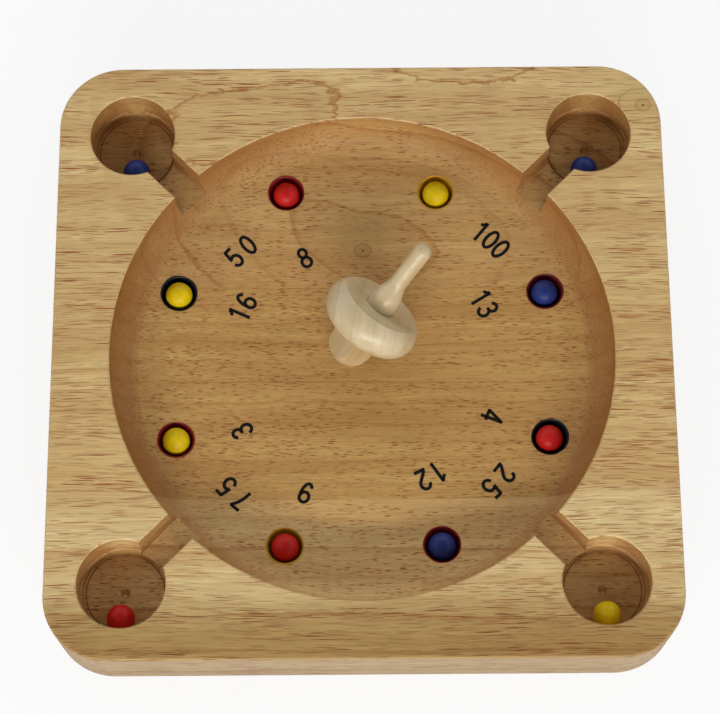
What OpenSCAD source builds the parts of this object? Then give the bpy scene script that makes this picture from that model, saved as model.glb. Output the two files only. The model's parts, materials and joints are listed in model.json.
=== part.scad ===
// Spinning top board game: a square wooden board with a turned dish, eight small
// cups in the dish, four corner pockets joined to it by sloping slots, twelve
// small balls and a wooden top that lies on its side in the dish.
// X runs along the grain, +Y is the far side, +Z is up, the board stands on Z = 0.

/* [Board] */
// Side length of the square board
board_side = 280; // [276:1:300]
// Thickness of the board
board_thick = 40; // [38:0.5:50]
// Radius of the four upright corners
corner_r = 29; // [16:0.5:32]
// Radius that rounds over the outer edges
edge_r = 1.2; // [0.4:0.1:3]
// Distance of the far glue line from the board's middle
glue_far = 38.5; // [25:0.5:55]
// Distance of the near glue line from the board's middle
glue_near = 63.5; // [45:0.5:75]

/* [Dish] */
// Radius of the dish at the board's face
dish_r = 114; // [110:0.5:117]
// Depth of the dish at its centre
dish_depth = 25; // [23:0.5:27]
// Radius of the shallow hollow of the dish floor
floor_curve_r = 1113; // [900:1:1600]
// Radius of the cove between the floor and the wall of the dish
cove_r = 14; // [10:0.5:16]
// Small bevel round the dish and the pockets
rim_bevel = 0.6; // [0.6:0.1:1]

/* [Cups] */
// Radius of the circle that the eight cups lie on
cup_ring_r = 92; // [86:0.5:93]
// Radius of a cup
cup_r = 8; // [7.4:0.1:8.6]
// Depth of a cup below the dish floor
cup_depth = 9.5; // [8.6:0.1:11]
// Small bevel round a cup
cup_bevel = 0.4; // [0.2:0.1:0.6]

/* [Pockets] */
// Distance of a pocket's centre from the two sides of the board next to it
pocket_edge = 34; // [32:0.5:36]
// Radius of a pocket
pocket_r = 19.6; // [18:0.1:20.5]
// Depth of a pocket
pocket_depth = 21.5; // [21:0.1:24]
// Depth at which the pocket wall steps in
pocket_step = 16.4; // [12:0.1:18]
// How far the pocket wall leans in between that step and the floor
pocket_lean = 1.1; // [0.6:0.1:1.6]
// Radius of the dimple that the drill point leaves
dimple_r = 2.1; // [1:0.1:3]
// Depth of that dimple
dimple_depth = 1.5; // [1:0.1:3]

/* [Slots] */
// Width of a slot
slot_w = 15.5; // [14:0.1:17]
// Depth of the slot floor where it opens in the dish wall
slot_depth_in = 16.3; // [14:0.1:17.5]
// Depth of the slot floor where it ends above the pocket floor
slot_depth_out = 20; // [18.5:0.1:20.6]
// Radius along the two lower corners of a slot
slot_fillet = 1; // [0.6:0.1:3.5]
// Small bevel along the two rims of a slot
slot_bevel = 0.45; // [0.3:0.05:0.5]

/* [Balls] */
// Radius of a ball
ball_r = 6.25; // [5.5:0.05:6.6]
// Gap left between a resting piece and what it lies on
rest_gap = 0.3; // [0.2:0.05:0.5]

/* [Top] */
// Radius of the disc
disc_r = 23; // [21:0.1:25]
// Radius of the disc's rounded edge, which is half its thickness
disc_edge_r = 9.5; // [8:0.1:10.5]
// Radius of the sharp ridge round the upper face of the disc
ridge_r = 18.8; // [17.5:0.1:19.4]
// How far the upper face is hollowed inside the ridge
face_hollow = 1.2; // [0.5:0.1:2]
// Distance from the disc's middle plane to the centre of the foot's ball
foot_drop = 16.1; // [14:0.1:18]
// Radius of the ball end of the foot
foot_r = 10.55; // [10:0.05:11.5]
// Width of the square foot across its flats
foot_flats = 14.9; // [13.6:0.1:16]
// Length of the handle above the disc
handle_len = 38; // [30:0.5:46]
// Radius of the handle at the disc
handle_base_r = 6.7; // [6:0.1:7.5]
// Radius of the handle at its waist
handle_waist_r = 4.1; // [3.5:0.1:5]
// Radius of the handle's round end
handle_end_r = 4.3; // [3.6:0.1:5.2]
// Radius of the pegs of the handle and the foot inside the disc
peg_r = 4; // [3:0.1:5]
// Place of the foot along X
top_x = -4.6; // [-12:0.1:12]
// Place of the foot along Y
top_y = 8; // [-12:0.1:12]
// Direction that the handle points in, from X towards Y
top_turn = 44.7; // [0:0.1:360]
// How far the square foot is turned round the top's own axis
foot_turn = -23.2; // [-45:0.1:45]

/* [Hidden] */

wood = [0.80, 0.66, 0.43];
top_wood = [0.86, 0.79, 0.62];
red = [0.72, 0.06, 0.08];
yellow = [0.86, 0.74, 0.05];
blue = [0.12, 0.15, 0.45];

face_z = board_thick;
half_side = board_side / 2;
corner_off = half_side - corner_r;
over = 1;

// The dish floor is a wide ball surface. The cove runs into the wall, and it is
// set a little low, so that it meets the floor at a slight angle.
cove_dip = 0.12;
floor_centre_z = floor_curve_r - dish_depth;
cove_x = dish_r - cove_r;
cove_z = floor_centre_z - sqrt(pow(floor_curve_r - cove_r, 2) - cove_x * cove_x) - cove_dip;
function dish_z(r) = floor_centre_z - sqrt(floor_curve_r * floor_curve_r - r * r);

cup_angles = [for (i = [0:7]) 22.5 + 45 * i];
cup_z = dish_z(cup_ring_r);
cup_tilt = asin(cup_ring_r / floor_curve_r);

// A slot runs outwards along X here, from the cove of the dish into the pocket.
pocket_off = half_side - pocket_edge;
pocket_x = pocket_off * sqrt(2);
pocket_floor_r = pocket_r - pocket_lean;
slot_in_x = cove_x + sqrt(cove_r * cove_r - pow(slot_depth_in + cove_z, 2));
slot_out_x = pocket_x - sqrt(pocket_r * pocket_r - slot_w * slot_w / 4);
slot_slope = atan2(slot_depth_out - slot_depth_in, slot_out_x - slot_in_x);
slot_start_x = cove_x;
slot_end_x = slot_out_x + 3;
function slot_z(x) = -slot_depth_in - (x - slot_in_x) * tan(slot_slope);

// The fallen top rests on the ball of its foot and on the edge of its disc.
disc_ring_r = disc_r - disc_edge_r;
lever = sqrt(foot_drop * foot_drop + disc_ring_r * disc_ring_r);
flat_rise = atan2(disc_ring_r, foot_drop) + asin((disc_edge_r - foot_r) / lever);
reach = foot_drop * cos(flat_rise) + disc_ring_r * sin(flat_rise);
disc_touch = norm([top_x + reach * cos(top_turn), top_y + reach * sin(top_turn)]);
floor_rise = dish_z(disc_touch) - dish_z(norm([top_x, top_y]));
top_rise = atan2(disc_ring_r, foot_drop) + asin((disc_edge_r - foot_r + floor_rise) / lever);
top_lean = 90 - top_rise;
top_z = face_z + dish_z(norm([top_x, top_y])) + foot_r + rest_gap;
disc_z = foot_drop;
ridge_z = disc_z + sqrt(disc_edge_r * disc_edge_r - pow(ridge_r - disc_ring_r, 2));
hollow_r = (ridge_r * ridge_r + face_hollow * face_hollow) / (2 * face_hollow);
seat_gap = 0.25;
peg_gap = 0.1;
seat_z = ridge_z - face_hollow - 0.4;
peg_len = 7;

$fn = 96;

// Plate with rounded-over edges, seen from the side, centred on X.
module plate_section(half) {
    translate([-half, edge_r]) square([2 * half, board_thick - 2 * edge_r]);
    translate([-half + edge_r, 0]) square([2 * (half - edge_r), board_thick]);
    for (x = [-1, 1], z = [edge_r, board_thick - edge_r])
        translate([x * (half - edge_r), z]) circle(edge_r, $fn = 32);
}

module board_blank() {
    for (turn = [0, 90]) rotate([0, 0, turn]) rotate([90, 0, 0])
        linear_extrude(2 * corner_off, center = true) plate_section(half_side);
    for (x = [-1, 1], y = [-1, 1]) translate([x * corner_off, y * corner_off, 0])
        rotate_extrude() intersection() {
            plate_section(corner_r);
            square([corner_r, board_thick]);
        }
}

module dish_hollow() {
    rotate_extrude($fn = 240) {
        intersection() {
            translate([0, floor_centre_z]) circle(floor_curve_r, $fn = 1440);
            union() {
                translate([0, -dish_depth - over]) square([cove_x, dish_depth + 2 * over]);
                translate([cove_x, cove_z]) circle(cove_r, $fn = 128);
                translate([0, cove_z]) square([dish_r, over - cove_z]);
            }
        }
        polygon([[0, over], [cove_x, -rim_bevel], [dish_r, -rim_bevel],
                 [dish_r + rim_bevel + over, over]]);
    }
}

// A vertical hole with a round end. Its bevel stands square to the sloping floor.
module cup_hollow() {
    bottom = cup_z - cup_depth + cup_r;
    translate([cup_ring_r, 0, bottom]) rotate([0, 0, 90]) {
        sphere(cup_r, $fn = 64);
        cylinder(h = cup_depth - cup_r + 3 * over, r = cup_r, $fn = 64);
    }
    translate([cup_ring_r, 0, cup_z]) rotate([-cup_tilt, 0, 90]) translate([0, 0, -cup_bevel - over])
        cylinder(h = 2 * over + cup_bevel, r1 = cup_r - over, r2 = cup_r + over + cup_bevel, $fn = 64);
}

// A drilled pocket: the wall leans in below a small step, the cutter's corner
// scores the floor, and its point leaves a dimple.
module pocket_hollow() {
    step_out = 0.4;
    score_r = pocket_floor_r - 0.9;
    score_half = 0.35;
    score_depth = 0.4;
    translate([pocket_x, 0, 0]) rotate_extrude() polygon([
        [0, over], [pocket_r + rim_bevel + over, over], [pocket_r, -rim_bevel],
        [pocket_r, -pocket_step], [pocket_r - pocket_lean / 2, -pocket_step - step_out],
        [pocket_floor_r, -pocket_depth],
        [score_r + score_half, -pocket_depth], [score_r, -pocket_depth - score_depth],
        [score_r - score_half, -pocket_depth],
        [dimple_r, -pocket_depth], [0, -pocket_depth - dimple_depth]]);
}

// A slot seen along its sloping floor, which lies on the X axis here.
module slot_section(height) {
    translate([-slot_w / 2, slot_fillet]) square([slot_w, height - slot_fillet]);
    translate([slot_fillet - slot_w / 2, 0]) square([slot_w - 2 * slot_fillet, height]);
    for (side = [-1, 1])
        translate([side * (slot_w / 2 - slot_fillet), slot_fillet]) circle(slot_fillet, $fn = 48);
}

// A slot from the dish to the pocket, with a bevel along its rim.
module slot_hollow() {
    run = slot_end_x - slot_start_x;
    translate([slot_start_x, 0, slot_z(slot_start_x)]) rotate([0, slot_slope, 0]) rotate([90, 0, 90])
        linear_extrude(run / cos(slot_slope)) slot_section((slot_depth_out + 3 * over) / cos(slot_slope));
    translate([slot_start_x, 0, 0]) rotate([90, 0, 90]) linear_extrude(run)
        polygon([[0, -slot_bevel - slot_w / 2], [slot_w / 2 + slot_bevel + over, over],
                 [-slot_w / 2 - slot_bevel - over, over]]);
}

// The part of the board between two glue lines.
module stave(from_y, to_y) {
    color(wood) difference() {
        intersection() {
            board_blank();
            translate([-board_side, from_y, -over]) cube([2 * board_side, to_y - from_y, board_thick + 2 * over]);
        }
        translate([0, 0, face_z]) {
            dish_hollow();
            for (a = cup_angles) rotate([0, 0, a]) cup_hollow();
            for (a = [45:90:315]) rotate([0, 0, a]) {
                pocket_hollow();
                slot_hollow();
            }
        }
    }
}

module stave_far() { stave(glue_far, board_side); }
module stave_middle() { stave(-glue_near, glue_far); }
module stave_near() { stave(-board_side, -glue_near); }

// Puts a piece that is modelled upright, with the foot's ball at its origin,
// where the fallen top lies.
module lay_top() {
    translate([top_x, top_y, top_z]) rotate([0, top_lean, top_turn]) children();
}

module top_disc() {
    color(top_wood) lay_top() rotate_extrude() difference() {
        union() {
            translate([disc_ring_r, disc_z]) circle(disc_edge_r);
            translate([0, disc_z - disc_edge_r]) square([disc_ring_r, 2 * disc_edge_r]);
        }
        intersection() {
            translate([0, ridge_z - face_hollow + hollow_r]) circle(hollow_r, $fn = 720);
            translate([0, ridge_z - face_hollow]) square([ridge_r, disc_edge_r]);
        }
        translate([0, seat_z]) square([handle_base_r + seat_gap, disc_edge_r]);
        square([peg_r + peg_gap, disc_z + disc_edge_r]);
        translate([-disc_r, 0]) square([disc_r, disc_z + disc_r]);
    }
}

// Half width of the handle at a height above its seat: a bell at the base that
// narrows to a waist and swells a little to the round end.
function bell(z) = z < 5 ? 1 - 0.03 * z / 5 : z > 16 ? 0 : 0.97 * (0.5 + 0.5 * cos(180 * (z - 5) / 11));
function handle_r(z) = handle_waist_r + (handle_base_r - handle_waist_r) * bell(z)
    + (handle_end_r - handle_waist_r) * max(0, (z - 22) / (handle_len - 22));

module top_handle() {
    end_z = handle_len - handle_end_r;
    steps = 26;
    color(top_wood) lay_top() translate([0, 0, seat_z]) {
        rotate_extrude($fn = 64) {
            polygon(concat([[0, 0]], [for (i = [0:steps]) [handle_r(end_z * i / steps), end_z * i / steps]],
                           [[0, end_z]]));
            translate([0, end_z]) intersection() {
                circle(handle_r(end_z));
                square(handle_len);
            }
        }
        translate([0, 0, -peg_len]) cylinder(h = peg_len + over, r = peg_r, $fn = 48);
    }
}

module top_foot() {
    shoulder_z = disc_z - disc_edge_r;
    color(top_wood) lay_top() rotate([0, 0, foot_turn]) {
        intersection() {
            translate([-foot_flats / 2, -foot_flats / 2, -foot_r]) cube([foot_flats, foot_flats, foot_r + shoulder_z]);
            union() {
                sphere(foot_r);
                cylinder(h = shoulder_z, r = foot_r);
            }
        }
        cylinder(h = shoulder_z + peg_len, r = peg_r, $fn = 48);
    }
}

// A ball in the cup that lies in the given direction.
module cup_ball(tint, angle) {
    color(tint) rotate([0, 0, angle])
        translate([cup_ring_r, 0, face_z + cup_z - cup_depth + ball_r + rest_gap]) sphere(ball_r, $fn = 48);
}

// A ball that has rolled against the near wall of a corner pocket.
module pocket_ball(tint, side_x, side_y, shift_x) {
    roll = pocket_r - ball_r - 0.7;
    color(tint) translate([side_x * pocket_off + shift_x,
                           side_y * pocket_off - sqrt(roll * roll - shift_x * shift_x),
                           face_z - pocket_depth + ball_r + rest_gap]) sphere(ball_r, $fn = 48);
}

module red_ball_1() { cup_ball(red, cup_angles[2]); }
module red_ball_2() { cup_ball(red, cup_angles[7]); }
module red_ball_3() { cup_ball(red, cup_angles[5]); }
module red_ball_4() { pocket_ball(red, -1, -1, -1.1); }
module yellow_ball_1() { cup_ball(yellow, cup_angles[1]); }
module yellow_ball_2() { cup_ball(yellow, cup_angles[3]); }
module yellow_ball_3() { cup_ball(yellow, cup_angles[4]); }
module yellow_ball_4() { pocket_ball(yellow, 1, -1, 0.9); }
module blue_ball_1() { cup_ball(blue, cup_angles[0]); }
module blue_ball_2() { cup_ball(blue, cup_angles[6]); }
module blue_ball_3() { pocket_ball(blue, -1, 1, 0.8); }
module blue_ball_4() { pocket_ball(blue, 1, 1, -1.3); }

stave_far();
stave_middle();
stave_near();
top_disc();
top_handle();
top_foot();
red_ball_1();
red_ball_2();
red_ball_3();
red_ball_4();
yellow_ball_1();
yellow_ball_2();
yellow_ball_3();
yellow_ball_4();
blue_ball_1();
blue_ball_2();
blue_ball_3();
blue_ball_4();
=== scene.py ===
import json
import math
import bpy
from mathutils import Matrix, Vector


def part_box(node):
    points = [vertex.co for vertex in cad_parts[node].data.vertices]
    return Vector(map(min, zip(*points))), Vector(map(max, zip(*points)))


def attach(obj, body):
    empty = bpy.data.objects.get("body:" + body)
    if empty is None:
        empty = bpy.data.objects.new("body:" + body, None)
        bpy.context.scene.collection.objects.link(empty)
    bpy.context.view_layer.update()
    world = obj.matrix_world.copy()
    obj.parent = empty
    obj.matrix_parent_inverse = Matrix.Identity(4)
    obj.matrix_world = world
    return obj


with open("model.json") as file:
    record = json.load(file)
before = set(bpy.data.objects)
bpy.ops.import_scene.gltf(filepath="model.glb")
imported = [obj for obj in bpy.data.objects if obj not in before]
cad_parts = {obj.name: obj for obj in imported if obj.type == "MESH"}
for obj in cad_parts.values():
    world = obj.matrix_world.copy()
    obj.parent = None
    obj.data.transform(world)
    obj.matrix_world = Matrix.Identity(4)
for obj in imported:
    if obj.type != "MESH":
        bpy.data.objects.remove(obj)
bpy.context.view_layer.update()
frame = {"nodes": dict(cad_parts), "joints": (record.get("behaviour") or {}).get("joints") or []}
cadNodes = frame["nodes"]
mm = 0.001
print("frame loaded with", len(cadNodes), "nodes")


# Helpers for shader nodes

def shade(red, green, blue):    # a colour as it looks on the screen, 0 to 255
    levels = [level / 255 for level in (red, green, blue)]
    return tuple(v / 12.92 if v < 0.04045 else ((v + 0.055) / 1.055) ** 2.4 for v in levels) + (1.0,)


def put(tree, kind, sockets, **settings):    # a node with its settings and what its sockets get
    node = tree.nodes.new(kind)
    for key, value in settings.items():
        setattr(node, key, value)
    for key, value in sockets.items():
        if isinstance(value, bpy.types.NodeSocket):
            tree.links.new(value, node.inputs[key])
        else:
            node.inputs[key].default_value = value
    return node


def calc(tree, operation, *values):
    return put(tree, "ShaderNodeMath", dict(enumerate(values)), operation=operation).outputs[0]


def vector(tree, operation, *values):
    node = put(tree, "ShaderNodeVectorMath", dict(enumerate(values)), operation=operation)
    return node.outputs["Value" if operation in ("LENGTH", "DOT_PRODUCT") else "Vector"]


def part(tree, value, axis):    # one axis of a vector
    return put(tree, "ShaderNodeSeparateXYZ", {0: value}).outputs[axis]


def smooth(tree, value, low, high, lowest=0.0, highest=1.0):
    sockets = {"Value": value, "From Min": low, "From Max": high, "To Min": lowest, "To Max": highest}
    return put(tree, "ShaderNodeMapRange", sockets, interpolation_type="SMOOTHSTEP").outputs[0]


def mixColour(tree, factor, first, second, mode="MIX"):
    sockets = {0: factor, 6: first, 7: second}
    return put(tree, "ShaderNodeMix", sockets, data_type="RGBA", blend_type=mode).outputs[2]


def tinted(tree, colour, tint):
    return mixColour(tree, 1.0, colour, tint, "MULTIPLY")


def noise(tree, place, stretch, detail=2.0):
    spot = vector(tree, "MULTIPLY", place, stretch)
    return put(tree, "ShaderNodeTexNoise", {"Vector": spot, "Scale": 1.0, "Detail": detail}).outputs["Fac"]


def pattern(tree, place, settings):    # a noise spread over a range
    stretch, detail, *spread = settings
    return smooth(tree, noise(tree, place, stretch, detail), *spread)


def newGroup(name, inputs, outputs):
    tree = bpy.data.node_groups.new(name, "ShaderNodeTree")
    for label, value in inputs.items():
        kind = "Float" if isinstance(value, float) else "Vector"
        socket = tree.interface.new_socket(name=label, in_out="INPUT", socket_type="NodeSocket" + kind)
        socket.default_value = value
    for label in outputs:
        tree.interface.new_socket(name=label, in_out="OUTPUT", socket_type="NodeSocketFloat")
    return tree, tree.nodes.new("NodeGroupInput").outputs, tree.nodes.new("NodeGroupOutput").inputs


def useGroup(tree, group, sockets):
    return put(tree, "ShaderNodeGroup", sockets, node_tree=group).outputs


def newMaterial(name):
    material = bpy.data.materials.new(name)
    material.use_nodes = True
    tree = material.node_tree
    return material, tree, tree.nodes["Principled BSDF"]


def roughen(tree, shader, strength, distance, height):    # a bump, returned for a coat to share
    bump = put(tree, "ShaderNodeBump", {"Strength": strength, "Distance": distance, "Height": height})
    tree.links.new(bump.outputs[0], shader.inputs["Normal"])
    return bump.outputs[0]


def placeInMillimetres(tree, turn=(0, 0, 0), middle=(0, 0, 0)):
    # Object coordinates in millimetres about a middle point, turned into the wood's own axes
    place = put(tree, "ShaderNodeTexCoord", {}).outputs["Object"]
    place = vector(tree, "SUBTRACT", vector(tree, "MULTIPLY", place, (1000, 1000, 1000)), middle)
    return put(tree, "ShaderNodeMapping", {"Vector": place, "Rotation": turn}).outputs[0]


# Shared effects

ringShape = {
    "slowBend": (0.012, 0.045, 0.045), "raggedEdge": (0.22, 0.5, 0.5), "raggedDetail": 4.0,
    # a line grows softly over the ring, then sharply, and ends at once
    "softPower": 5.0, "softShare": 0.45, "sharp": (0.86, 0.96), "sharpShare": 0.55, "end": (0.99, 1.0),
    "leastStrength": 0.4,
}
poreShape = {"softEdge": 0.75, "leastDepth": 0.6}


def buildRings(shape):    # growth rings as shells round the heart of the tree
    tree, given, result = newGroup("growthRings", {
        "Place": (0.0, 0.0, 0.0), "Heart": (0.0, 0.0, 0.0), "Stretch": (1.0, 1.0, 1.0),
        "Spacing": 10.0, "Waver": 4.0, "Ragged": 1.0}, ["Line", "Tone"])
    away = vector(tree, "SUBTRACT", given["Place"], given["Heart"])
    away = vector(tree, "LENGTH", vector(tree, "MULTIPLY", away, given["Stretch"]))
    slow = calc(tree, "SUBTRACT", noise(tree, given["Place"], shape["slowBend"]), 0.5)
    rough = noise(tree, given["Place"], shape["raggedEdge"], shape["raggedDetail"])
    rough = calc(tree, "SUBTRACT", rough, 0.5)
    away = calc(tree, "MULTIPLY_ADD", slow, given["Waver"], away)
    away = calc(tree, "MULTIPLY_ADD", rough, given["Ragged"], away)
    count = calc(tree, "DIVIDE", away, given["Spacing"])
    through = calc(tree, "FRACT", count)
    ring = calc(tree, "FLOOR", count)
    luck = put(tree, "ShaderNodeTexWhiteNoise", {"W": ring}, noise_dimensions="1D").outputs["Value"]
    soft = calc(tree, "MULTIPLY", calc(tree, "POWER", through, shape["softPower"]), shape["softShare"])
    sharp = calc(tree, "MULTIPLY", smooth(tree, through, *shape["sharp"]), shape["sharpShare"])
    edge = smooth(tree, through, *shape["end"], 1.0, 0.0)
    line = calc(tree, "MULTIPLY", calc(tree, "ADD", soft, sharp), edge)
    strength = calc(tree, "MULTIPLY_ADD", luck, 1 - shape["leastStrength"], shape["leastStrength"])
    tree.links.new(calc(tree, "MULTIPLY", line, strength), result["Line"])
    tree.links.new(luck, result["Tone"])
    return tree


def buildPores(shape):    # the cut vessels of the wood: thin dashes along the grain
    tree, given, result = newGroup("pores", {
        "Place": (0.0, 0.0, 0.0), "Cell": (10.0, 1.0, 1.0), "Reach": 0.25, "Share": 0.8}, ["Mask"])
    cells = vector(tree, "DIVIDE", given["Place"], given["Cell"])
    cell = put(tree, "ShaderNodeTexVoronoi", {"Vector": cells, "Scale": 1.0})
    away = calc(tree, "DIVIDE", cell.outputs["Distance"], given["Reach"])
    inside = smooth(tree, away, 1.0, shape["softEdge"])
    luck = put(tree, "ShaderNodeSeparateColor", {"Color": cell.outputs["Color"]}).outputs
    kept = calc(tree, "LESS_THAN", luck["Red"], given["Share"])
    depth = calc(tree, "MULTIPLY_ADD", luck["Green"], 1 - shape["leastDepth"], shape["leastDepth"])
    tree.links.new(calc(tree, "MULTIPLY", calc(tree, "MULTIPLY", inside, kept), depth), result["Mask"])
    return tree


rings = buildRings(ringShape)
pores = buildPores(poreShape)
print("shared shader groups ready")

# The board: three staves of one pale, open-pored wood with a satin finish

boardWood = {
    "light": shade(231, 205, 147), "deep": shade(206, 172, 116), "line": shade(168, 104, 44),
    "pore": shade(136, 46, 0), "milledPoreColour": shade(144, 62, 6), "endGrain": shade(158, 104, 48),
    # the olive patch set off from each knot is a painted shadow, standing in for the top's soft shadow
    "knotColour": shade(186, 156, 88), "knotHeart": shade(60, 42, 24), "paintedShadowColour": shade(200, 176, 116),
    "sideColour": shade(202, 190, 162), "sideEnd": shade(184, 148, 98),
    "edgeTone": shade(200, 184, 158), "edge": (-98.0, -132.0),
    # noises: stretch, detail and the range they are spread over
    "cloud": ((0.006, 0.07, 0.07), 3.0, 0.32, 0.7),
    "streak": ((0.007, 0.32, 0.32), 2.0, 0.4, 0.68, 0.0, 0.6),
    "fibre": ((0.04, 1.7, 1.7), 4.0, 0.3, 0.72, 0.86, 1.08),
    "crowd": ((0.012, 0.16, 0.16), 2.0, 0.35, 0.6, 0.4, 1.0),
    "thread": ((0.02, 1.5, 1.5), 2.0, 0.56, 0.66, 0.0, 0.5),
    "bendSize": (0.012, 0.03, 0.03), "bend": 7.0, "slope": 0.03, "apart": 310.0,
    # cells of the pores, and how far a dash fills its cell
    "longPore": (38.0, 0.76, 0.76), "shortPore": (14.0, 0.72, 0.72), "milledPore": (5.6, 0.85, 0.85),
    "poreReach": 0.32, "milledReach": 0.33, "shortShare": 0.8, "milledShare": 0.85,
    "poresLostMilled": 0.7, "threadsLostMilled": 0.6, "threadSpread": (0.4, 1.0, 0.15, 1.0),
    "ringTone": 0.3, "ringToneLostSide": 0.25, "sideCover": 0.65, "sideTurn": (0.3, 0.9),
    "endTurn": (0.08, 0.52, 0.0, 0.6),
    "roughness": 0.48, "milledRoughness": 0.16, "poreRoughness": 0.2, "specular": 0.3,
    "coat": 0.04, "coatRoughness": 0.22, "fibreHeight": 0.6, "bump": 0.35, "bumpHeight": 0.15 * mm,
    "faceDepth": 0.9, "faceSoft": 0.4, "bottomSoft": (1.0, 3.0),
    "cornerRadius": 29.0, "sideSoft": (2.0, 0.8),
}
staveWood = {
    "stave_far": {
        "heart": (0, 57, 14), "stretch": (0.56, 1.0, 1.5), "fan": 0.45, "spacing": 20.0, "waver": 9.0,
        "ragged": 2.5, "lineStrength": 0.55, "faceLine": 0.12, "poreShare": 0.75,
        "tint": shade(255, 252, 247), "milledTone": shade(230, 214, 194),
        # middle, half lengths, slant and squareness
        "islands": [((-50, 112), (40, 19), 0.13, 4.0), ((47, 151), (38, 20), -0.03, 2.6),
                    ((132, 119), (12, 9), 0.0, 2.6)]},
    "stave_middle": {
        "heart": (60, -320, -60), "stretch": (0.03, 1.0, 0.3), "fan": 0.0, "spacing": 9.5, "waver": 6.5,
        "ragged": 0.8, "lineStrength": 0.45, "faceLine": 1.0, "poreShare": 0.95,
        "tint": shade(255, 252, 244), "milledTone": shade(226, 208, 182), "islands": []},
    "stave_near": {
        "heart": (-200, -330, -90), "stretch": (0.05, 1.0, 0.8), "fan": 0.0, "spacing": 13.0,
        "waver": 7.0, "ragged": 1.2, "lineStrength": 0.5, "faceLine": 1.0, "poreShare": 0.75,
        "tint": (1.08, 1.13, 1.17, 1.0), "milledTone": shade(242, 228, 211), "islands": []},
}
knots = [((0.6, 56.8), 3.3), ((132.0, 119.5), 3.0)]    # place on the board and radius
islandShape = {
    "ragged": (0.16, 0.3, 0.3), "raggedDetail": 4.0, "raggedDepth": 0.34,
    "end": (1.0, 0.97), "line": (0.88, 0.99), "lineStrength": 0.8, "toneStrength": 0.2,
}
knotShape = {    # reaches in radii of the knot, then strengths
    # the patch set off from the knot towards the far side is a painted shadow of the top
    "squeeze": 0.85, "paintedShadowPlace": 2.4, "paintedShadow": (4.5, 2.0), "paintedShadowStrength": 0.5,
    "body": (1.0, 0.6), "bodyStrength": 0.5, "rimOut": (1.2, 1.0), "rimIn": (0.7, 0.95),
    "rimStrength": 0.45, "heart": (0.6, 0.3), "heartStrength": 0.95,
}


def islandOfRing(tree, colour, place, onFace, island, wood):
    # a closed ring of the tree where the face only just cuts it, darker inside a ragged line
    (x, y), (long, wide), slant, square = island
    along = calc(tree, "SUBTRACT", part(tree, place, "X"), x)
    across = calc(tree, "MULTIPLY_ADD", along, -slant, part(tree, place, "Y"))
    along = calc(tree, "DIVIDE", along, long)
    across = calc(tree, "DIVIDE", calc(tree, "SUBTRACT", across, y), wide)
    reach = calc(tree, "ADD", calc(tree, "POWER", calc(tree, "ABSOLUTE", along), square),
                 calc(tree, "POWER", calc(tree, "ABSOLUTE", across), square))
    reach = calc(tree, "POWER", reach, 1 / square)
    ragged = noise(tree, place, islandShape["ragged"], islandShape["raggedDetail"])
    ragged = calc(tree, "SUBTRACT", ragged, 0.5)
    reach = calc(tree, "MULTIPLY_ADD", ragged, islandShape["raggedDepth"], reach)
    inside = calc(tree, "MULTIPLY", smooth(tree, reach, *islandShape["end"]), onFace)
    line = calc(tree, "MULTIPLY", smooth(tree, reach, *islandShape["line"]), inside)
    tone = calc(tree, "MULTIPLY", inside, islandShape["toneStrength"])
    colour = mixColour(tree, tone, colour, wood["deep"])
    return mixColour(tree, calc(tree, "MULTIPLY", line, islandShape["lineStrength"]), colour, wood["line"])


def knotIn(tree, colour, place, middle, radius, wood):
    def fade(value, reach, strength=1.0):
        start, end = reach
        return smooth(tree, value, radius * start, radius * end, 0.0, strength)

    near = vector(tree, "SUBTRACT", place, middle + (0.0,))
    near = vector(tree, "MULTIPLY", near, (knotShape["squeeze"], 1.0, 0))
    # painted shadow: a darker olive patch on the far side of each knot, where the top's soft shadow falls
    # beside the first one
    paintedShadow = vector(tree, "SUBTRACT", near, (0, radius * knotShape["paintedShadowPlace"], 0))
    paintedShadow = fade(vector(tree, "LENGTH", paintedShadow), knotShape["paintedShadow"], knotShape["paintedShadowStrength"])
    near = vector(tree, "LENGTH", near)
    colour = mixColour(tree, paintedShadow, colour, wood["paintedShadowColour"])
    body = fade(near, knotShape["body"], knotShape["bodyStrength"])
    colour = mixColour(tree, body, colour, wood["knotColour"])
    rim = calc(tree, "MULTIPLY", fade(near, knotShape["rimOut"], knotShape["rimStrength"]),
               fade(near, knotShape["rimIn"]))
    colour = mixColour(tree, rim, colour, wood["line"])
    heart = smooth(tree, near, *knotShape["heart"], 0.0, knotShape["heartStrength"])
    return mixColour(tree, heart, colour, wood["knotHeart"])


def boardZones(tree, place, wood):    # masks for the milled hollows and the outer sides of the board
    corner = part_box("stave_near")[1] / mm
    flat = vector(tree, "ABSOLUTE", vector(tree, "MULTIPLY", place, (1, 1, 0)))
    inner = corner.x - wood["cornerRadius"]
    beyond = vector(tree, "MAXIMUM", vector(tree, "SUBTRACT", flat, (inner, inner, 0)), (0, 0, 0))
    soft, hard = [wood["cornerRadius"] - depth for depth in wood["sideSoft"]]
    outer = smooth(tree, vector(tree, "LENGTH", beyond), soft, hard)
    height = part(tree, place, "Z")
    faceEnd = corner.z - wood["faceDepth"]
    below = smooth(tree, height, faceEnd + wood["faceSoft"], faceEnd)
    side = calc(tree, "MULTIPLY", outer, below)
    milled = calc(tree, "MULTIPLY", calc(tree, "SUBTRACT", below, side),
                  smooth(tree, height, *wood["bottomSoft"]))
    return milled, side


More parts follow.
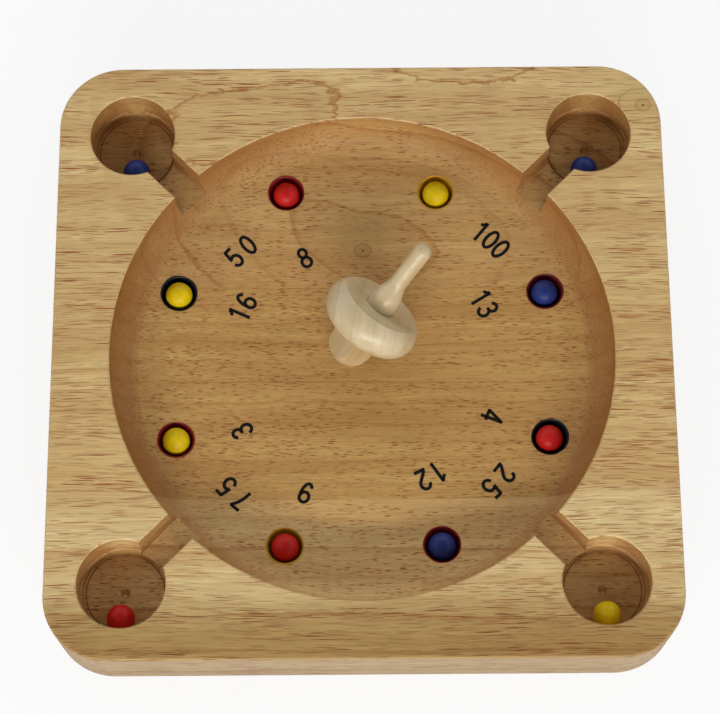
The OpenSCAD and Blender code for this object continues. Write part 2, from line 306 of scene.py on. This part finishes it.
def boardPores(tree, place, wood, share, milled, crowd):    # dashes on the face and in the hollows
    masks = []
    reaches = {"longPore": "poreReach", "shortPore": "poreReach", "milledPore": "milledReach"}
    for cell, reach in reaches.items():
        dashes = useGroup(tree, pores, {
            "Place": place, "Cell": wood[cell], "Reach": wood[reach], "Share": share})
        masks.append(dashes["Mask"])
    dashes = calc(tree, "MAXIMUM", masks[0], calc(tree, "MULTIPLY", masks[1], wood["shortShare"]))
    left = calc(tree, "MULTIPLY_ADD", milled, -wood["poresLostMilled"], 1.0)
    dashes = calc(tree, "MULTIPLY", calc(tree, "MULTIPLY", dashes, left), crowd)
    inHollow = calc(tree, "MULTIPLY", milled, smooth(tree, crowd, 0.0, 1.0))
    return dashes, calc(tree, "MULTIPLY", masks[2], inHollow)


def boardMaterial(name, wood, own, seed):
    material, tree, shader = newMaterial(name)
    still = placeInMillimetres(tree)
    place = placeInMillimetres(tree, turn=(0, wood["slope"], 0), middle=(seed * wood["apart"], 0, 0))
    bend = calc(tree, "SUBTRACT", noise(tree, place, wood["bendSize"]), 0.5)
    bend = put(tree, "ShaderNodeCombineXYZ", {"Y": calc(tree, "MULTIPLY", bend, wood["bend"])}).outputs[0]
    place = vector(tree, "ADD", place, bend)
    milled, side = boardZones(tree, still, wood)
    onFace = calc(tree, "SUBTRACT", 1.0, milled)
    leftOnly = calc(tree, "MINIMUM", part(tree, still, "X"), 0.0)
    sheared = {"Y": calc(tree, "MULTIPLY", leftOnly, own["fan"])}
    sheared = put(tree, "ShaderNodeCombineXYZ", sheared).outputs[0]
    ring = useGroup(tree, rings, {
        "Place": vector(tree, "ADD", still, sheared), "Heart": own["heart"], "Stretch": own["stretch"],
        "Spacing": own["spacing"], "Waver": own["waver"], "Ragged": own["ragged"]})
    # the ground of the wood: clouds, streaks, rings and fibres
    colour = mixColour(tree, pattern(tree, place, wood["cloud"]), wood["light"], wood["deep"])
    colour = mixColour(tree, pattern(tree, place, wood["streak"]), colour, wood["deep"])
    toned = calc(tree, "MULTIPLY_ADD", side, -wood["ringToneLostSide"], wood["ringTone"])
    toned = calc(tree, "MULTIPLY", ring["Tone"], toned)
    colour = mixColour(tree, toned, colour, wood["deep"])
    for island in own["islands"]:
        colour = islandOfRing(tree, colour, still, onFace, island, wood)
    fibre = pattern(tree, place, wood["fibre"])
    colour = tinted(tree, tinted(tree, colour, fibre), own["tint"])
    # the outer sides, greyer along the grain and warmer across it
    normal = put(tree, "ShaderNodeNewGeometry", {}).outputs["Normal"]
    across = calc(tree, "ABSOLUTE", part(tree, normal, "X"))
    sideTone = smooth(tree, across, *wood["sideTurn"])
    sideTone = mixColour(tree, sideTone, wood["sideColour"], wood["sideEnd"])
    colour = mixColour(tree, calc(tree, "MULTIPLY", side, wood["sideCover"]), colour, sideTone)
    # ring lines, threads and pores
    drawn = calc(tree, "MULTIPLY_ADD", calc(tree, "MAXIMUM", milled, side),
                 own["lineStrength"] * (1 - own["faceLine"]), own["lineStrength"] * own["faceLine"])
    colour = mixColour(tree, calc(tree, "MULTIPLY", ring["Line"], drawn), colour, wood["line"])
    crowd = pattern(tree, place, wood["crowd"])
    dashes, inHollow = boardPores(tree, place, wood, own["poreShare"], milled, crowd)
    threads = calc(tree, "MULTIPLY", pattern(tree, place, wood["thread"]),
                   smooth(tree, crowd, *wood["threadSpread"]))
    threads = calc(tree, "MULTIPLY", threads,
                   calc(tree, "MULTIPLY_ADD", milled, -wood["threadsLostMilled"], 1.0))
    colour = mixColour(tree, threads, colour, wood["line"])
    colour = mixColour(tree, dashes, colour, wood["pore"])
    milledDashes = calc(tree, "MULTIPLY", inHollow, wood["milledShare"])
    colour = mixColour(tree, milledDashes, colour, wood["milledPoreColour"])
    for middle, radius in knots:
        colour = knotIn(tree, colour, still, middle, radius, wood)
    # darker where the hollows cut across the grain, and towards the near edge
    endOn = calc(tree, "MULTIPLY", smooth(tree, across, *wood["endTurn"]), milled)
    colour = mixColour(tree, endOn, colour, wood["endGrain"])
    colour = mixColour(tree, milled, colour, tinted(tree, colour, own["milledTone"]))
    edge = calc(tree, "MULTIPLY", smooth(tree, part(tree, still, "Y"), *wood["edge"]), onFace)
    colour = mixColour(tree, edge, colour, tinted(tree, colour, wood["edgeTone"]))
    tree.links.new(colour, shader.inputs["Base Color"])
    pore = calc(tree, "MAXIMUM", dashes, inHollow)
    rough = calc(tree, "MULTIPLY_ADD", milled, wood["milledRoughness"], wood["roughness"])
    rough = calc(tree, "MULTIPLY_ADD", pore, wood["poreRoughness"], rough)
    tree.links.new(rough, shader.inputs["Roughness"])
    shader.inputs["Specular IOR Level"].default_value = wood["specular"]
    shader.inputs["Coat Weight"].default_value = wood["coat"]
    shader.inputs["Coat Roughness"].default_value = wood["coatRoughness"]
    height = calc(tree, "MULTIPLY_ADD", pore, -1.0, calc(tree, "MULTIPLY", fibre, wood["fibreHeight"]))
    roughen(tree, shader, wood["bump"], wood["bumpHeight"], height)
    return material


def dress(node, material):
    node.data.materials.clear()
    node.data.materials.append(material)


for seed, (name, own) in enumerate(staveWood.items()):
    dress(cadNodes[name], boardMaterial(name + "Wood", boardWood, own, seed))
print("board wood done")

# The top: pale turned wood, lying on its side

topWood = {
    "light": shade(224, 206, 172), "deep": shade(200, 178, 134), "line": shade(172, 144, 100),
    "pore": shade(176, 146, 104), "poreCell": (9.0, 0.8, 0.8), "poreReach": 0.22, "poreStrength": 0.5,
    "cloud": ((0.03, 0.12, 0.12), 3.0, 0.3, 0.7), "ringTone": 0.4, "waver": 2.0, "ragged": 0.3,
    "rub": ((0.2, 0.2, 0.2), 3.0, 0.3, 0.7, 0.36, 0.52), "coat": 0.35, "coatRoughness": 0.24,
    "grain": (0.6, 2.2, 2.2), "grainDetail": 3.0, "poreHeight": -0.6, "bump": 0.6, "bumpHeight": 0.16 * mm,
}
topPieces = {
    "top_disc": {"heart": (0, 95, 15), "stretch": (0.12, 1.0, 0.5), "spacing": 4.8,
                 "lineStrength": 0.45, "poreShare": 0.25, "tint": shade(255, 255, 255),
                 "grainAlong": (0.2, 0.98, 0)},    # the disc's grain runs across the top's axis
    "top_handle": {"heart": (0, 25, 12), "stretch": (0.02, 1.0, 1.0), "spacing": 4.5,
                   "lineStrength": 0.3, "poreShare": 0.6, "tint": shade(255, 253, 250)},
    "top_foot": {"heart": (0, -30, 14), "stretch": (0.02, 1.0, 1.0), "spacing": 6.0,
                 "lineStrength": 0.3, "poreShare": 0.4, "tint": shade(232, 220, 196)},
}
spin = next(joint for joint in frame["joints"] if joint["name"] == "top_spin")
topAxis = Vector(spin["axis"]).normalized()
topFoot = Vector(spin["pos_m"])


def topMaterial(name, wood, own):
    material, tree, shader = newMaterial(name)
    along = Vector(own.get("grainAlong", topAxis))
    turn = along.rotation_difference(Vector((1, 0, 0))).to_euler()
    place = placeInMillimetres(tree, turn=turn, middle=topFoot / mm)
    ring = useGroup(tree, rings, {
        "Place": place, "Heart": own["heart"], "Stretch": own["stretch"], "Spacing": own["spacing"],
        "Waver": wood["waver"], "Ragged": wood["ragged"]})
    dash = useGroup(tree, pores, {
        "Place": place, "Cell": wood["poreCell"], "Reach": wood["poreReach"], "Share": own["poreShare"]})
    colour = mixColour(tree, pattern(tree, place, wood["cloud"]), wood["light"], wood["deep"])
    colour = mixColour(tree, calc(tree, "MULTIPLY", ring["Tone"], wood["ringTone"]), colour, wood["deep"])
    lineShare = calc(tree, "MULTIPLY", ring["Line"], own["lineStrength"])
    colour = mixColour(tree, lineShare, colour, wood["line"])
    dashes = calc(tree, "MULTIPLY", dash["Mask"], wood["poreStrength"])
    colour = tinted(tree, mixColour(tree, dashes, colour, wood["pore"]), own["tint"])
    tree.links.new(colour, shader.inputs["Base Color"])
    tree.links.new(pattern(tree, place, wood["rub"]), shader.inputs["Roughness"])
    shader.inputs["Coat Weight"].default_value = wood["coat"]
    shader.inputs["Coat Roughness"].default_value = wood["coatRoughness"]
    grain = noise(tree, place, wood["grain"], wood["grainDetail"])
    height = calc(tree, "MULTIPLY_ADD", dash["Mask"], wood["poreHeight"], grain)
    bump = roughen(tree, shader, wood["bump"], wood["bumpHeight"], height)
    tree.links.new(bump, shader.inputs["Coat Normal"])
    return material


for name, own in topPieces.items():
    dress(cadNodes[name], topMaterial(name + "Wood", topWood, own))
print("top wood done")

# Paint on the balls and in the cups

ballGloss = {"roughness": 0.38, "specular": 0.2}
cupGloss = {"roughness": 0.45, "specular": 0.25}
paints = {
    "redPaint": {"colour": shade(196, 28, 24), **ballGloss},
    "yellowPaint": {"colour": shade(226, 194, 8), **ballGloss},
    "bluePaint": {"colour": shade(34, 48, 112), **ballGloss},
    "cupRed": {"colour": shade(128, 18, 22), **cupGloss},
    "cupYellow": {"colour": shade(190, 140, 30), **cupGloss},
    # a darker copy of the red cup paint: painted shade for a red cup wall lying in shadow
    "cupRedPaintedShade": {"colour": shade(98, 18, 24), **cupGloss},
    "cupBlack": {"colour": shade(12, 18, 26), **cupGloss},
    "numberInk": {"colour": shade(14, 13, 12), "roughness": 0.7, "specular": 0.15},
}
paintCoat = {
    "patchy": ((0.35, 0.35, 0.35), 3.0, 0.3, 0.7, 0.9, 1.06), "dull": ((0.5, 0.5, 0.5), 2.0, 0.35, 0.7),
    "duller": 0.12, "skin": (1.3, 1.3, 1.3), "bump": 0.25, "bumpHeight": 0.08 * mm,
}


def paintMaterial(name, paint, coat):
    material, tree, shader = newMaterial(name)
    place = placeInMillimetres(tree)
    colour = tinted(tree, paint["colour"], pattern(tree, place, coat["patchy"]))
    tree.links.new(colour, shader.inputs["Base Color"])
    rough = paint["roughness"]
    dull = pattern(tree, place, coat["dull"] + (rough, rough + coat["duller"]))
    tree.links.new(dull, shader.inputs["Roughness"])
    shader.inputs["Specular IOR Level"].default_value = paint["specular"]
    roughen(tree, shader, coat["bump"], coat["bumpHeight"], noise(tree, place, coat["skin"]))
    return material


finishes = {name: paintMaterial(name, paint, paintCoat) for name, paint in paints.items()}
for name, node in cadNodes.items():
    if "_ball_" in name:
        dress(node, finishes[name.split("_")[0] + "Paint"])
print("paint done")


# Helpers for modelling

def deselectAll():
    if bpy.context.object and bpy.context.object.mode != "OBJECT":
        bpy.ops.object.mode_set(mode="OBJECT")
    bpy.ops.object.select_all(action="DESELECT")


def settle(piece, matrix):    # puts a finished piece in place and leaves the place in its mesh
    piece.data.transform(matrix)
    piece.data.update()


def boardHeight(x, y):    # height of the board's surface under a point
    above, down = Vector((x, y, 1.0)), Vector((0, 0, -1))
    hits = [cadNodes[name].ray_cast(above, down) for name in staveWood]
    return max(hit[1].z for hit in hits if hit[0])


# Painted linings of the eight cups

cupPaint = {
    "radius": 8.0 * mm, "gap": 0.03 * mm, "film": 0.1 * mm, "restGap": 0.3 * mm, "bevel": 0.4 * mm,
    "lip": 0.22 * mm, "waver": 0.5 * mm, "dabs": {"X": 2.2 * mm, "Y": 2.86 * mm}, "dabGrowth": 0.13,
    "blot": 0.16 * mm, "blotTurn": 2.4, "reach": 2 * mm,
    "cut": 0.02 * mm, "spare": 3 * mm, "segments": 64, "rows": 32, "smoothAngle": 40,
    # the dark red cup is the red paint with painted shade
    "colours": {"red_ball_1": "cupRed", "yellow_ball_1": "cupYellow", "blue_ball_1": "cupRedPaintedShade",
                "red_ball_2": "cupBlack", "blue_ball_2": "cupRed", "red_ball_3": "cupYellow",
                "yellow_ball_3": "cupRed", "yellow_ball_2": "cupBlack"},
    "slots": {"cupRed": "red_paint", "cupRedPaintedShade": "red_paint", "cupYellow": "yellow_paint"},
}


def cupLining(name, ball, settings, seed):
    radius, bevel = settings["radius"], settings["bevel"]
    low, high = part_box(ball)
    middle = (low + high) / 2
    middle.z = low.z - settings["restGap"] + radius
    outwards = Vector((middle.x, middle.y, 0)).normalized()
    step = radius + settings["reach"]
    inner, outer = [boardHeight(*(middle + outwards * side * step).xy) for side in (-1, 1)]
    tilt = math.atan2(outer - inner, 2 * step)
    rimHeight = (inner + outer) / 2 - middle.z + settings["gap"]
    lean = Vector((-math.sin(tilt), 0, math.cos(tilt)))    # the floor's normal, with X outwards
    edgeRadius = radius - settings["gap"]
    deselectAll()
    bpy.ops.mesh.primitive_uv_sphere_add(segments=settings["segments"], ring_count=settings["rows"],
                                         radius=edgeRadius)
    lining = bpy.context.object
    lining.name = name
    bpy.ops.object.mode_set(mode="EDIT")
    bpy.ops.mesh.select_all(action="SELECT")
    bpy.ops.mesh.bisect(plane_co=(0, 0, settings["cut"]), plane_no=(0, 0, 1), clear_outer=True)
    pastRim = (0, 0, rimHeight + settings["spare"])
    bpy.ops.mesh.extrude_edges_move(TRANSFORM_OT_translate={"value": pastRim})
    bpy.ops.mesh.select_all(action="SELECT")
    foot = Vector((0, 0, rimHeight)) - lean * bevel
    bpy.ops.mesh.bisect(plane_co=foot, plane_no=lean, clear_outer=True)
    for rise, grow in ((bevel, bevel), (0.0, settings["lip"])):
        foot = foot + lean * rise
        bpy.ops.mesh.extrude_edges_move(TRANSFORM_OT_translate={"value": tuple(lean * rise)})
        larger = (edgeRadius + grow) / edgeRadius
        bpy.ops.transform.resize(value=(larger, larger, larger), center_override=foot)
        edgeRadius += grow
    # the dabbed paint runs a little to one side and has a ragged edge, another one in each cup
    blotTurn = settings["blotTurn"] * seed
    aside = Vector((math.cos(blotTurn), math.sin(blotTurn), 0)) * settings["blot"]
    bpy.ops.transform.translate(value=aside)
    lining.vertex_groups.new(name="rim")
    bpy.ops.object.vertex_group_assign()
    bpy.ops.object.mode_set(mode="OBJECT")
    for axis, dab in settings["dabs"].items():
        dabs = bpy.data.textures.new(name + "Dabs" + axis, "CLOUDS")
        dabs.noise_scale = dab * (1 + settings["dabGrowth"] * seed)
        waver = lining.modifiers.new("waver", "DISPLACE")
        waver.texture = dabs
        waver.direction = axis
        waver.vertex_group = "rim"
        waver.strength = settings["waver"]
        bpy.ops.object.modifier_apply(modifier="waver")
    film = lining.modifiers.new("film", "SOLIDIFY")
    film.thickness = settings["film"]
    film.offset = -1.0
    bpy.ops.object.modifier_apply(modifier="film")
    bpy.ops.object.shade_smooth_by_angle(angle=math.radians(settings["smoothAngle"]))
    turn = Matrix.Rotation(math.atan2(outwards.y, outwards.x), 4, "Z")
    settle(lining, Matrix.Translation(middle) @ turn)
    colour = settings["colours"][ball]
    lining.data.materials.append(finishes[colour])
    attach(lining, "board")


for index, ball in enumerate(cupPaint["colours"]):
    cupLining("cup_paint_%d" % (index + 1), ball, cupPaint, index)
print("cup linings done")

# Printed numbers on the dish floor

numberPrint = {
    "height": 10.4 * mm, "stroke": 0.145, "lift": 0.1 * mm, "thickness": 0.16 * mm, "middle": (0.28, 0.5),
    # radius of the circle the number lies on, direction of its middle, step from digit to digit
    "places": {"50": (79.8, 135.0, 6.5), "100": (86.0, 45.2, 4.3), "25": (82.6, -42.2, 6.5),
               "75": (84.1, -134.0, 6.3), "8": (59.5, 116.5, 0), "16": (62.5, 152.5, 6.7),
               "3": (63.0, -150.8, 0), "9": (65.5, -113.4, 0), "12": (60.9, -59.7, 7.3),
               "4": (64.2, -22.6, 0), "13": (64.3, 27.8, 6.1), "1": (61.0, 63.2, 0)},
}


def arc(x, y, across, up, first, last, steps):    # points of an oval arc, angles in degrees
    turns = [math.radians(first + (last - first) * i / steps) for i in range(steps + 1)]
    return [(x + across * math.cos(t), y + up * math.sin(t)) for t in turns]


# Middle lines of the digits' strokes, in heights of a digit: rounded ones by arcs
digitStrokes = {
    "0": [arc(0.28, 0.5, 0.215, 0.436, 90, 450, 40)],
    "1": [[(0.33, 0.0), (0.33, 1.0)], arc(0.05, 1.02, 0.26, 0.25, -80, -8, 10)],
    "2": [arc(0.28, 0.70, 0.205, 0.236, 175, -18, 24)
          + [(0.44, 0.55), (0.20, 0.27), (0.10, 0.14), (0.075, 0.0)],
          [(0.06, 0.064), (0.52, 0.064)]],
    "3": [arc(0.27, 0.735, 0.185, 0.201, 165, -90, 24), arc(0.27, 0.300, 0.215, 0.236, 90, -168, 26),
          [(0.19, 0.534), (0.30, 0.534)]],
    "4": [[(0.39, 0.0), (0.39, 1.0)], [(0.02, 0.27), (0.54, 0.27)], [(0.045, 0.245), (0.40, 0.96)]],
    "5": [[(0.13, 0.936), (0.49, 0.936)], [(0.165, 0.96), (0.10, 0.46)],
          arc(0.28, 0.325, 0.215, 0.261, 128, -165, 26)],
    "6": [arc(0.285, 0.30, 0.205, 0.236, 0, 360, 32), arc(0.29, 0.48, 0.215, 0.456, 40, 200, 24)],
    "7": [[(0.05, 0.936), (0.52, 0.936)], [(0.50, 0.95), (0.33, 0.66), (0.235, 0.36), (0.195, 0.0)]],
    "8": [arc(0.28, 0.735, 0.175, 0.201, 90, 450, 32), arc(0.28, 0.292, 0.215, 0.228, 90, 450, 32)],
    "9": [arc(0.275, 0.70, 0.205, 0.236, 0, 360, 32), arc(0.27, 0.52, 0.215, 0.456, 220, 380, 24)],
}


def strokeMesh(points, stroke, thickness):    # a flat ribbon along a digit's middle line
    deselectAll()
    bpy.ops.curve.primitive_bezier_curve_add()
    line = bpy.context.object
    line.data.splines.clear()
    closed = math.dist(points[0], points[-1]) < 1e-6
    points = points[:-1] if closed else points
    run = line.data.splines.new("POLY")
    run.points.add(len(points) - 1)
    for spot, (x, y) in zip(run.points, points):
        spot.co = (x, y, 0, 1)
    run.use_cyclic_u = closed
    line.data.dimensions = "2D"
    line.data.fill_mode = "NONE"
    bpy.ops.object.convert(target="MESH")
    bpy.ops.object.mode_set(mode="EDIT")
    bpy.ops.mesh.select_all(action="SELECT")
    bpy.ops.mesh.extrude_edges_move(TRANSFORM_OT_translate={"value": (0, 0, thickness)})
    bpy.ops.object.mode_set(mode="OBJECT")
    ribbon = line.modifiers.new("ribbon", "SOLIDIFY")
    ribbon.thickness = stroke
    ribbon.offset = 0
    ribbon.use_even_offset = True
    bpy.ops.object.modifier_apply(modifier="ribbon")
    return line


def printedNumber(text, radius, direction, step, settings):
    height = settings["height"]
    x, y = settings["middle"]
    pieces = []
    for index, digit in enumerate(text):
        angle = math.radians(direction + step * ((len(text) - 1) / 2 - index))
        spot = Vector((math.cos(angle), math.sin(angle), 0))
        middle = spot * radius * mm
        low, high = [boardHeight(*(middle + spot * side * height / 2).xy) for side in (-1, 1)]
        tilt = math.atan2(high - low, height)
        upwards = (spot * math.cos(tilt) + Vector((0, 0, math.sin(tilt)))).normalized()
        across = Vector((spot.y, -spot.x, 0))
        axes = Matrix((across, upwards, across.cross(upwards))).transposed().to_4x4()
        base = middle + Vector((0, 0, (low + high) / 2 + settings["lift"] - settings["thickness"]))
        onBoard = Matrix.Translation(base) @ axes @ Matrix.Scale(height, 4)
        centred = Matrix.Translation((-x, -y, 0))
        for points in digitStrokes[digit]:
            piece = strokeMesh(points, settings["stroke"], settings["thickness"] / height)
            settle(piece, onBoard @ centred)
            pieces.append(piece)
    deselectAll()
    for piece in pieces:
        piece.select_set(True)
    bpy.context.view_layer.objects.active = pieces[0]
    if len(pieces) > 1:
        bpy.ops.object.join()
    number = bpy.context.object
    number.name = "number_" + text
    dress(number, finishes["numberInk"])
    bpy.ops.object.mode_set(mode="EDIT")
    bpy.ops.mesh.select_all(action="SELECT")
    bpy.ops.mesh.normals_make_consistent(inside=False)
    bpy.ops.object.mode_set(mode="OBJECT")
    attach(number, "board")


for text, (radius, direction, step) in numberPrint["places"].items():
    printedNumber(text, radius, direction, step, numberPrint)
print("numbers done")

# Floor, light and camera

studio = {
    "floorSize": 8.0, "floorDrop": 0.1 * mm, "floorColour": shade(248, 248, 248), "floorRoughness": 0.9,
    "floorWhite": 0.84, "skyStrength": 0.23, "ceiling": 0.25, "ceilingRange": (0.5, 0.85),
    "lampDistance": 1.6,
    # direction from +X, height angle, length, height and share of the light on the board's face
    "lamps": {"nearLamp": (-91, 29, 1.6, 0.07, 0.39), "farLamp": (90, 31, 2.8, 0.4, 0.16),
              "leftLamp": (178, 36, 1.6, 0.6, 0.09), "rightLamp": (3, 36, 1.6, 0.6, 0.08)},
}
camera = {
    "distance": 1.0, "rise": 72.0, "roll": -0.42, "lens": 110.0, "sensor": 36.0,
    "aim": (-1.03 * mm, 0.04 * mm, 30 * mm),
}


def seenRays(tree):    # 1 for the camera's own rays, and for mirrored and refracted ones
    path = put(tree, "ShaderNodeLightPath", {}).outputs
    mirrored = calc(tree, "MAXIMUM", path["Is Glossy Ray"], path["Is Transmission Ray"])
    return calc(tree, "MAXIMUM", path["Is Camera Ray"], mirrored)


deselectAll()
bpy.ops.mesh.primitive_plane_add(size=studio["floorSize"], location=(0, 0, -studio["floorDrop"]))
floor = bpy.context.object
floor.name = "floor"
material, tree, shader = newMaterial("studioFloor")
shader.inputs["Base Color"].default_value = studio["floorColour"]
shader.inputs["Roughness"].default_value = studio["floorRoughness"]
glow = put(tree, "ShaderNodeEmission", {"Strength": 1.0})
whiteShare = calc(tree, "MULTIPLY", seenRays(tree), studio["floorWhite"])
mixed = put(tree, "ShaderNodeMixShader", {0: whiteShare, 1: shader.outputs[0], 2: glow.outputs[0]})
tree.links.new(mixed.outputs[0], tree.nodes["Material Output"].inputs["Surface"])
dress(floor, material)

world = bpy.data.worlds.new("studioWorld")
bpy.context.scene.world = world
world.use_nodes = True
tree = world.node_tree
toSky = put(tree, "ShaderNodeTexCoord", {}).outputs["Generated"]
ceiling = smooth(tree, part(tree, toSky, "Z"), *studio["ceilingRange"], 1.0, studio["ceiling"])
byCamera = put(tree, "ShaderNodeLightPath", {}).outputs["Is Camera Ray"]
ceiling = calc(tree, "MAXIMUM", ceiling, byCamera)
mix = {0: seenRays(tree), 2: studio["skyStrength"], 3: ceiling}
strength = put(tree, "ShaderNodeMix", mix).outputs[0]
background = tree.nodes["Background"]
background.inputs["Color"].default_value = (1, 1, 1, 1)
tree.links.new(strength, background.inputs["Strength"])

for name, (turn, rise, length, height, share) in studio["lamps"].items():
    turn, rise = math.radians(turn), math.radians(rise)
    towards = Vector((math.cos(rise) * math.cos(turn), math.cos(rise) * math.sin(turn), math.sin(rise)))
    bpy.ops.object.light_add(type="AREA", location=towards * studio["lampDistance"])
    lamp = bpy.context.object
    lamp.name = name
    lamp.data.shape = "RECTANGLE"
    lamp.data.size = length
    lamp.data.size_y = height
    lamp.data.energy = share * math.pi ** 2 * studio["lampDistance"] ** 2 / math.sin(rise)
    lamp.rotation_euler = (-towards).to_track_quat("-Z", "Y").to_euler()

bpy.ops.object.camera_add()
view = bpy.context.object
rise, roll = math.radians(camera["rise"]), math.radians(camera["roll"])
ahead = Vector((0, math.cos(rise), -math.sin(rise)))
level, upright = Vector((1, 0, 0)), Vector((0, math.sin(rise), math.cos(rise)))
right = level * math.cos(roll) + upright * math.sin(roll)
above = upright * math.cos(roll) - level * math.sin(roll)
axes = Matrix((right, above, -ahead)).transposed().to_4x4()
view.matrix_world = Matrix.Translation(Vector(camera["aim"]) - ahead * camera["distance"]) @ axes
view.data.lens = camera["lens"]
view.data.sensor_width = camera["sensor"]
bpy.context.scene.camera = view
bpy.context.scene.view_settings.view_transform = "Standard"
print("floor, light and camera done")
